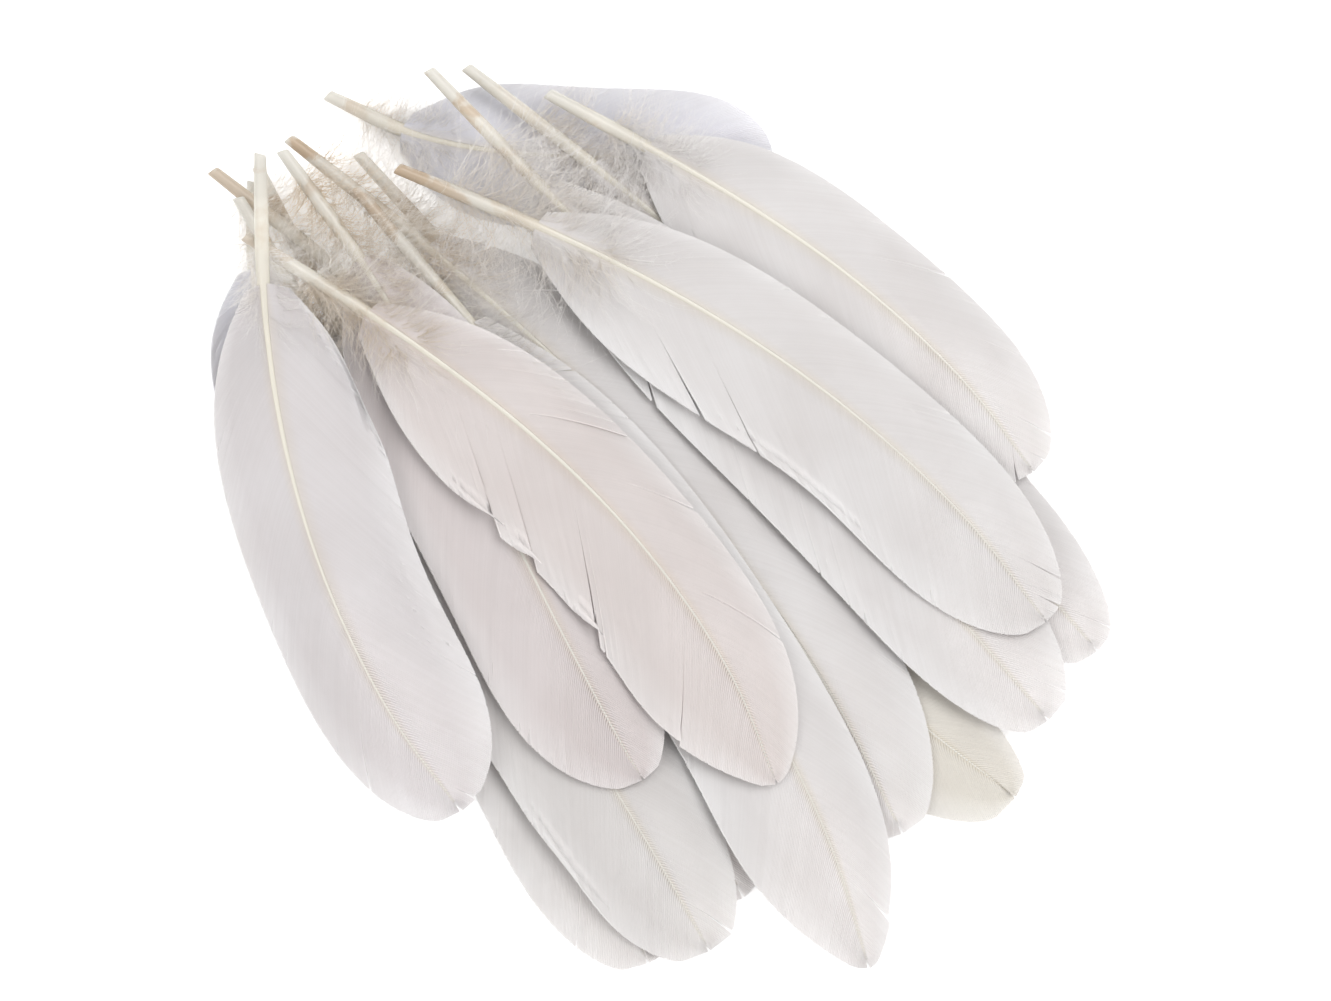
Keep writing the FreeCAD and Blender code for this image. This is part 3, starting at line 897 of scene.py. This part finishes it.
@dataclass
class Shaft:
    """The horn shaft: an open hollow barrel that runs on as a grooved rachis."""

    node: str
    body: str
    spine: Spine
    bore_radius: float
    bore_depth: float
    slant: float
    ring_points: int = 16

    def rings(self) -> list[np.ndarray]:
        """Rings of points from the bore's floor out round the mouth and up to the tip."""
        spine = self.spine
        turns = np.linspace(0.0, 2 * math.pi, self.ring_points, endpoint=False)
        found = []
        inner = np.linspace(self.bore_depth, 0.15 * MM, 5)
        for place in inner:
            found.append(self.ring(place, np.full(self.ring_points, self.bore_radius), turns))
        lip = [0.05 * MM, 0.35 * MM, 1.2 * MM]
        outer = np.concatenate([lip, np.arange(3.0 * MM, spine.length, Spine.STEP)])
        for place in outer:
            radius = float(spine.radius(place))
            if place < 0.1 * MM:
                radius -= 0.18 * MM
            horny = float(smooth((place / spine.length - 0.14) / 0.12))
            groove = np.exp(-(((turns - 1.5 * math.pi) / 0.38) ** 2)) * 0.3 * horny
            squared = 1.0 - 0.10 * horny * np.sin(turns) ** 2
            found.append(self.ring(place, radius * (squared - groove), turns))
        return found

    def ring(self, place: float, radii: np.ndarray, turns: np.ndarray) -> np.ndarray:
        """One ring square to the shaft, slanted near the mouth where the barrel was cut."""
        spine = self.spine
        left = spine.left(place)
        slope = self.slant * max(0.0, 1.0 - place / (6.0 * MM))
        centre = spine.at(place)
        ahead = spine.ahead(place)
        shift = (np.cos(turns)[:, None] * radii[:, None]) * slope * ahead
        return (
            centre
            + left * (np.cos(turns) * radii)[:, None]
            + UP * (np.sin(turns) * radii)[:, None]
            + shift
            + ahead * abs(slope) * spine.radius(0.0)
        )

    def build(self, finish: bpy.types.Material) -> bpy.types.Object:
        """Builds the shaft and lets it ride on its body.

        Args:
            finish: The horn's material.

        Returns:
            The finished piece.
        """
        rings = self.rings()
        count = self.ring_points
        tip = self.spine.at(self.spine.length + 0.4 * MM)
        floor = self.spine.at(self.bore_depth + 0.6 * MM)
        corners = np.concatenate([*rings, [floor], [tip]])
        faces: list[tuple[int, ...]] = []
        for row in range(len(rings) - 1):
            for step in range(count):
                here, after = row * count + step, row * count + (step + 1) % count
                faces.append((here, after, after + count, here + count))
        last = (len(rings) - 1) * count
        for step in range(count):
            faces.append((len(corners) - 2, (step + 1) % count, step))
            faces.append((last + step, last + (step + 1) % count, len(corners) - 1))
        piece = mesh_object(f"{self.node}_horn", corners, faces)
        mesh = piece.data
        share = mesh.attributes.new("shaft_share", "FLOAT", "POINT")
        places = np.linalg.norm(np.diff(np.array([ring.mean(axis=0) for ring in rings]), axis=0), axis=1)
        walked = np.concatenate([[0.0], np.cumsum(places)]) - 2 * self.bore_depth
        walked = np.clip(np.abs(walked + self.bore_depth), 0.0, None) / self.spine.length
        values = np.concatenate([np.repeat(walked, count), [walked[0], 1.0]])
        share.data.foreach_set("value", values.astype(np.float32))
        mesh.polygons.foreach_set("use_smooth", [True] * len(mesh.polygons))
        mesh.materials.append(finish)
        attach(piece, self.body)
        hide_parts(self.node)
        return piece


@dataclass
class Vane:
    """One web of barbs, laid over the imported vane's outline."""

    node: str
    body: str
    side: Side
    spine: Spine
    outline: VaneOutline
    space: Space
    folds: tuple[Fold, ...]
    partings: tuple[Parting, ...]
    seed: int
    furrows: float = 1.0
    sag: float = 0.7
    deepest: float = 3.0 * MM
    rows: int = 90
    columns: int = 15
    twin: float = 1e-6
    barb_spacing: float = 0.42 * MM

    def shares(self) -> tuple[np.ndarray, np.ndarray]:
        """Where the rows and columns of the guide sheet lie.

        Returns:
            The rows' shares along the vane, with a close pair at each parting, and the columns' shares
            across the vane, closest beside the shaft.
        """
        cuts = np.array([parting.place for parting in self.partings])
        along = np.sort(np.concatenate([np.linspace(0.0, 1.0, self.rows), cuts - self.twin, cuts + self.twin]))
        return along, np.linspace(0.0, 1.0, self.columns) ** 1.25

    def grid(self, share: np.ndarray, across: np.ndarray) -> tuple[np.ndarray, float]:
        """The guide sheet's corners and the length of the vane's edge.

        Args:
            share: The rows' shares along the vane.
            across: The columns' shares across the vane.

        Returns:
            An array of rows x columns x 3, each row one barb from shaft to edge, and the edge's length.
        """
        line = self.outline
        steps = np.hypot(np.diff(line.along), np.diff(line.reach))
        walked = np.concatenate([[0.0], np.cumsum(steps)])
        ends = np.interp(share * walked[-1], walked, line.along)
        reach = np.interp(share * walked[-1], walked, line.reach)
        height = (ends - line.along[0]) / (line.along[-1] - line.along[0])
        slant = 0.2 + 1.2 * smooth(height / 0.35) + 0.35 * height
        roots = np.minimum(ends - slant * reach, self.spine.length - 0.2 * MM)
        roots = np.maximum.accumulate(np.maximum(roots, line.along[0] - 3 * MM))

        radius = self.spine.radius(roots)[:, None]
        share, across = share[:, None], across[None, :]
        inner = 0.5 * radius
        out = inner + (np.maximum(reach[:, None], inner) - inner) * across
        place = roots[:, None] + (ends - roots)[:, None] * across**1.25
        local = np.maximum(np.interp(place, line.along, line.reach), 0.5 * MM)
        rise = np.interp(place, line.along, line.rise) * np.clip(out / local, 0.0, 1.2)
        rise += (0.85 * radius + 0.05 * MM) * np.clip(1.0 - (out - inner) / (4.5 * radius), 0.0, 1.0) ** 1.5
        rise += self.ripples(height[:, None], across)
        bend = sum((parting.push(share, across) for parting in self.partings), np.zeros_like(place))
        rise += sum((parting.rise(share, across) for parting in self.partings), np.zeros_like(place))
        for fold in self.folds:
            out, lift = fold.roll(share, out)
            rise += lift
        centre, left = self.spine.at(place), self.spine.left(place)
        spots = centre + left * (self.side.value * out)[..., None] + self.spine.ahead(place) * bend[..., None]
        spots[..., 2] += rise
        return spots, float(walked[-1])

    def ripples(self, along: np.ndarray, across: np.ndarray) -> np.ndarray:
        """The crown, and ripples that follow the barbs, over the whole grid."""
        chance = np.random.default_rng(self.seed)
        rise = 0.35 * MM * np.sin(math.pi * np.clip(across * 1.3, 0.0, 1.0)) * smooth(along / 0.1)
        for waves in (5, 9, 17, 31):
            phase, size = chance.uniform(0, 2 * math.pi), chance.uniform(0.5, 1.0)
            wave = np.sin(2 * math.pi * waves * along + phase)
            rise = rise + size * 0.55 * MM / waves**0.75 * across**2 * wave
        return rise

    def settle(self, spots: np.ndarray, across: np.ndarray) -> np.ndarray:
        """Lets the web sag towards what lies under it, more at its edge.

        Args:
            spots: The guide sheet's corners.
            across: The columns' shares across the vane.

        Returns:
            The corners, lowered where there is room.
        """
        rows, columns = spots.shape[:2]
        sink = np.zeros((rows, columns))
        for row in range(rows):
            for column in range(1, columns):
                room = self.space.under(spots[row, column] - UP * REST_GAP) - REST_GAP
                sink[row, column] = max(room, 0.0)
        calm = sink
        for smallest in (True, False, False):
            padded = np.pad(calm, ((5, 5), (1, 1)), mode="edge")
            shifts = [(down, over) for down in range(0, 11, 2) for over in range(3)]
            near = [padded[down : down + rows, over : over + columns] for down, over in shifts]
            calm = np.min(near, axis=0) if smallest else np.mean(near, axis=0)
        settled = spots.copy()
        settled[..., 2] -= np.minimum(calm * self.sag, self.deepest) * across[None, :] ** 1.6
        return settled

    def guide(self) -> tuple[bpy.types.Object, float]:
        """The guide sheet, with its map from shaft to edge and from base to tip.

        Returns:
            The sheet's object and the length of the vane's edge.
        """
        share, across = self.shares()
        spots, edge = self.grid(share, across)
        spots = self.settle(spots, across)
        rows, columns = spots.shape[:2]
        faces = []
        for row in range(rows - 1):
            if share[row + 1] - share[row] < 3 * self.twin:
                continue
            for column in range(columns - 1):
                corner = row * columns + column
                faces.append((corner, corner + 1, corner + columns + 1, corner + columns))
        sheet = mesh_object(f"{self.node}_guide", spots.reshape(-1, 3), faces)
        chart = sheet.data.attributes.new("chart", "FLOAT_VECTOR", "CORNER")
        corner = np.empty(len(sheet.data.loops), dtype=np.int64)
        sheet.data.loops.foreach_get("vertex_index", corner)
        normals = np.empty(rows * columns * 3, dtype=np.float32)
        sheet.data.vertex_normals.foreach_get("vector", normals)
        facing = sheet.data.attributes.new("facing", "FLOAT_VECTOR", "POINT")
        facing.data.foreach_set("vector", normals * self.side.value)
        mapped = np.round(share, 5)
        places = np.stack([across[corner % columns], mapped[corner // columns], corner * 0.0], axis=1)
        chart.data.foreach_set("vector", places.astype(np.float32).ravel())
        return sheet, edge

    def build(self, tree: GeometryTree, finish: bpy.types.Material) -> bpy.types.Object:
        """Builds the web of barbs and lets it ride on its body.

        Args:
            tree: The tree that grows barbs on a guide sheet.
            finish: The web's material.

        Returns:
            The finished piece.
        """
        sheet, edge = self.guide()
        sizes = {
            "Barbs": int(edge / self.barb_spacing),
            "Segments": 14 if self.folds else 9,
            "Lean": self.furrows,
            "Seed": float(self.seed),
        }
        web = tree.grow(sheet, finish, sizes)
        bpy.data.objects.remove(sheet)
        piece = placed(f"{self.node}_web", web)
        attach(piece, self.body)
        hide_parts(self.node)
        return piece


@dataclass(frozen=True)
class Fluff:
    """How much down a feather has: plumes to each side, their length, and where they start and end."""

    plumes: int = 240
    length: float = 13.0 * MM
    start: float = 0.06
    end: float = 0.26
    # How far the plumes' roots darken to tan: partly the down's own colour, partly painted shade deep in the
    # tuft.
    tan: float = 0.5


@dataclass
class Down:
    """The tuft of down on both sides of the shaft, below the vanes."""

    node: str
    body: str
    spine: Spine
    fluff: Fluff
    seed: int

    def build(self, tree: GeometryTree, finish: bpy.types.Material) -> bpy.types.Object:
        """Builds the tuft and lets it ride on its body.

        Args:
            tree: The tree that grows plumes along a line.
            finish: The down's material.

        Returns:
            The finished piece.
        """
        places = np.linspace(self.fluff.start, self.fluff.end, 24) * self.spine.length
        line = self.spine.at(places)
        guide = mesh_object(f"{self.node}_guide", line, [(step, step + 1) for step in range(len(line) - 1)])
        sizes = {"Plumes": self.fluff.plumes, "Plume Length": self.fluff.length, "Seed": self.seed}
        tuft = tree.grow(guide, finish, sizes)
        bpy.data.objects.remove(guide)
        piece = placed(f"{self.node}_fluff", tuft)
        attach(piece, self.body)
        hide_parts(self.node)
        return piece


@dataclass(frozen=True)
class Look:
    """What sets one feather's looks apart from the others'."""

    tint: Tint
    stain: float = 0.35
    slant: float = 0.3
    furrows: float = 1.0
    fluff: Fluff = Fluff()
    folds: tuple[Fold, ...] = ()
    partings: tuple[Parting, ...] = ()


LOOKS = {
    "quill_01": Look(Tint.COOL, 0.3, furrows=0.5, fluff=Fluff(240, 11.0 * MM, 0.09, tan=0.3)),
    "quill_02": Look(Tint.IVORY, 0.5, furrows=2.2, folds=(Fold(Side.LEFT, 0.7, 1.1, 5.0 * MM, 0.5),)),
    "quill_03": Look(Tint.PLAIN, 0.2, fluff=Fluff(260, 14.0 * MM, 0.1, tan=0.3)),
    "quill_04": Look(Tint.COOL, 0.4, fluff=Fluff(60, 5.0 * MM)),
    "quill_05": Look(Tint.PEARL, 0.5, furrows=0.3, fluff=Fluff(180, 11.0 * MM, tan=0.8)),
    "quill_06": Look(Tint.PLAIN, 0.4, fluff=Fluff(280, 15.0 * MM, 0.04, tan=0.8)),
    "quill_07": Look(Tint.PLAIN, 0.6, fluff=Fluff(320, 16.0 * MM, 0.03, tan=0.8)),
    "quill_08": Look(
        Tint.PEARL,
        0.5,
        furrows=0.4,
        fluff=Fluff(180, 11.0 * MM, tan=0.8),
        folds=(Fold(Side.RIGHT, 0.62, 0.92, 1.8 * MM, 1.8),),
    ),
    "quill_09": Look(Tint.PLAIN, 0.3, fluff=Fluff(260, 12.0 * MM, 0.11, tan=0.2)),
    "quill_10": Look(Tint.PLAIN, 0.6, fluff=Fluff(280, 15.0 * MM, 0.1, tan=0.25)),
    "quill_11": Look(
        Tint.PLAIN,
        0.5,
        fluff=Fluff(260, 17.0 * MM, 0.04, tan=0.6),
        partings=(Parting(Side.LEFT, 0.93, 1.6 * MM, 0.0),),
    ),
    "quill_12": Look(
        Tint.ROSE,
        0.4,
        fluff=Fluff(280, 14.0 * MM, 0.04, tan=0.8),
        partings=(Parting(Side.LEFT, 0.86, 1.4 * MM, 0.3 * MM),),
    ),
    "quill_13": Look(
        Tint.PLAIN,
        0.6,
        furrows=0.3,
        fluff=Fluff(340, 18.0 * MM, 0.06, 0.29, tan=0.3),
        folds=(Fold(Side.RIGHT, 0.3, 0.8, 1.4 * MM, 1.3),),
        partings=(Parting(Side.RIGHT, 0.36, 1.6 * MM), Parting(Side.RIGHT, 0.46, 1.2 * MM)),
    ),
    "quill_14": Look(
        Tint.BLUSH,
        0.3,
        furrows=0.5,
        fluff=Fluff(300, 14.0 * MM, 0.09, 0.26, tan=0.7),
        folds=(
            Fold(Side.RIGHT, 0.20, 0.38, 2.4 * MM, 2.3, torn=True),
            Fold(Side.RIGHT, 0.36, 0.46, 2.2 * MM, 2.2, torn=True),
            Fold(Side.RIGHT, 0.50, 0.62, 2.2 * MM, 2.2, torn=True),
            Fold(Side.RIGHT, 0.66, 0.84, 1.2 * MM, 1.8, torn=True),
        ),
        partings=(
            Parting(Side.RIGHT, 0.38, 0.9 * MM, 2.0 * MM),
            Parting(Side.RIGHT, 0.46, 0.7 * MM, 1.8 * MM),
            Parting(Side.RIGHT, 0.62, 1.4 * MM, 1.4 * MM, depth=1.4),
            Parting(Side.RIGHT, 0.84, 0.8 * MM, 0.6 * MM),
            Parting(Side.LEFT, 0.42, 0.6 * MM, 0.9 * MM),
            Parting(Side.LEFT, 0.78, 1.2 * MM, 0.8 * MM),
        ),
    ),
    "quill_15": Look(
        Tint.LILAC,
        0.3,
        furrows=0.3,
        fluff=Fluff(130, 8.0 * MM, 0.14, 0.24, tan=0.2),
        folds=(Fold(Side.LEFT, 0.02, 0.4, 2.5 * MM, 1.2),),
        partings=(Parting(Side.LEFT, 0.97, 0.8 * MM, 0.2 * MM),),
    ),
}


@dataclass
class Feather:
    """One whole feather: its shaft, two vanes and down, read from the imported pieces."""

    name: str
    look: Look
    number: int
    spine: Spine = field(init=False)
    mouth: np.ndarray = field(init=False)
    bore: dict[str, Any] = field(init=False)

    def __post_init__(self) -> None:
        """Finds the barrel's mouth in the record and traces the centreline."""
        mounts = {mount["name"]: mount for mount in frame["record"]["mounts"]}
        self.bore = mounts[f"{self.name}_barrel"]
        outward = unit(np.array(self.bore["axis"], dtype=float))
        depth = self.bore["dims"]["length_mm"] * MM
        self.mouth = np.array(self.bore["pos_m"], dtype=float) + outward * depth / 2
        self.spine = Spine.trace(NodeShape.of(f"{self.name}_shaft"), self.mouth, -outward)

    def build(
        self,
        trees: dict[str, GeometryTree],
        finishes: dict[Any, bpy.types.Material],
        below: BVHTree,
        swing: float,
    ) -> int:
        """Builds the feather's four pieces.

        Args:
            trees: The trees for barbs and for down.
            finishes: The materials, by finish.
            below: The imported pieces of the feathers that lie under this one.
            swing: The joint's travel to each side, in radians.

        Returns:
            How many faces the four pieces have.
        """
        dims = self.bore["dims"]
        pieces = [
            Shaft(
                f"{self.name}_shaft",
                self.name,
                self.spine,
                dims["r_mm"] * MM,
                dims["length_mm"] * MM,
                self.look.slant,
            ).build(finishes[HornFinish(self.look.stain)])
        ]
        space = Space(below, self.mouth, swing)
        for side in Side:
            node = f"{self.name}_{side.word}_vane"
            outline = VaneOutline.trace(NodeShape.of(node), self.spine)
            seed = 10 * self.number + side.value
            look = self.look
            folds = tuple(fold for fold in look.folds if fold.side is side)
            partings = tuple(parting for parting in look.partings if parting.side is side)
            vane = Vane(node, self.name, side, self.spine, outline, space, folds, partings, seed, look.furrows)
            pieces.append(vane.build(trees["barbs"], finishes[WebFinish(self.look.tint)]))
        down = Down(f"{self.name}_down", self.name, self.spine, self.look.fluff, self.number)
        pieces.append(down.build(trees["down"], finishes[FluffFinish(self.look.fluff.tan)]))
        return sum(len(piece.data.polygons) for piece in pieces)


@dataclass
class Bunch:
    """The whole fan of feathers, from the bottom of the pile to the top."""

    names: list[str] = field(default_factory=lambda: sorted(LOOKS))

    def swing(self) -> float:
        """The travel of the fan's joints, in radians."""
        joints = frame["record"]["behaviour"]["joints"]
        return math.radians(max(joint["range_deg"][1] for joint in joints))

    def finishes(self) -> dict[Any, bpy.types.Material]:
        """One material for each finish in use."""
        wanted: list[Any] = []
        for look in LOOKS.values():
            wanted += [WebFinish(look.tint), HornFinish(look.stain), FluffFinish(look.fluff.tan)]
        return {finish: finish.make() for finish in dict.fromkeys(wanted)}

    def build(self) -> None:
        """Builds the feathers in order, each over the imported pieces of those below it."""
        trees = {"barbs": barb_tree(), "down": down_tree()}
        finishes = self.finishes()
        table = [(-1.0, -1.0, 0.0), (1.0, -1.0, 0.0), (1.0, 1.0, 0.0), (-1.0, 1.0, 0.0)]
        corners: list[tuple[float, ...]] = list(table)
        faces: list[tuple[int, ...]] = [(0, 1, 2, 3)]
        for number, name in enumerate(self.names, start=1):
            below = BVHTree.FromPolygons(corners, faces)
            feather = Feather(name, LOOKS[name], number)
            made = feather.build(trees, finishes, below, self.swing())
            log.info("%s: %.0f mm long, %d faces", name, feather.spine.length / MM, made)
            for node in (f"{name}_shaft", f"{name}_left_vane", f"{name}_right_vane", f"{name}_down"):
                mesh = frame["nodes"][node].data
                first = len(corners)
                corners += [tuple(corner.co) for corner in mesh.vertices]
                faces += [tuple(first + index for index in face.vertices) for face in mesh.polygons]


# ---------------------------------------------------------------------------------------------------
# The stage


@dataclass
class Stage:
    """A pale floor, soft light from above and a camera that looks straight down."""

    view_width: float = 294.1 * MM
    aim: tuple[float, float] = (2.1 * MM, 3.7 * MM)
    aim_height: float = 12.0 * MM
    camera_height: float = 2.0
    sensor: float = 36.0

    def build(self) -> None:
        """Sets up the floor, the lights, the world and the camera."""
        self.floor()
        self.lights()
        self.camera()
        bpy.context.scene.view_settings.view_transform = "Standard"

    def floor(self) -> None:
        """A wide plain floor that glows a little, like a light table."""
        half = 2.5
        corners = np.array([(-half, -half, 0.0), (half, -half, 0.0), (half, half, 0.0), (-half, half, 0.0)])
        floor = mesh_object("floor", corners, [(0, 1, 2, 3)])
        tree = ShaderTree("pale_floor")
        matt = tree.add("ShaderNodeBsdfDiffuse", {"Color": (0.9, 0.9, 0.9, 1.0)})
        glow = tree.add("ShaderNodeEmission", {"Color": (1.0, 1.0, 1.0, 1.0), "Strength": 0.38})
        both = tree.add("ShaderNodeAddShader", {0: matt.outputs[0], 1: glow.outputs[0]})
        floor.data.materials.append(tree.finish(both.outputs[0]))

    def lights(self) -> None:
        """One large soft lamp to the upper right, a weak one to the left, and a bright world."""
        for name, place, size, power in (
            ("key", (0.6, 0.55, 1.5), 1.1, 14.5),
            ("fill", (-0.9, -0.2, 1.4), 1.2, 6.5),
        ):
            lamp = bpy.data.lights.new(name, "AREA")
            lamp.shape = "DISK"
            lamp.size = size
            lamp.energy = power
            shown = placed(name, lamp)
            shown.location = place
            shown.rotation_euler = (-Vector(place)).to_track_quat("-Z", "Y").to_euler()
        world = bpy.data.worlds.new("studio")
        world.use_nodes = True
        world.node_tree.nodes["Background"].inputs[0].default_value = (1.0, 1.0, 1.0, 1.0)
        world.node_tree.nodes["Background"].inputs[1].default_value = 0.81
        bpy.context.scene.world = world

    def camera(self) -> None:
        """A long lens straight above the bunch."""
        lens = bpy.data.cameras.new("camera")
        lens.sensor_width = self.sensor
        lens.lens = self.sensor * (self.camera_height - self.aim_height) / self.view_width
        lens.clip_end = 20.0
        shown = placed("camera", lens)
        shown.location = (*self.aim, self.camera_height)
        bpy.context.scene.camera = shown


def main() -> None:
    """Builds the stage and the bunch."""
    logging.basicConfig(level=logging.INFO, format="%(message)s")
    Stage().build()
    Bunch().build()


if __name__ == "__main__":
    main()
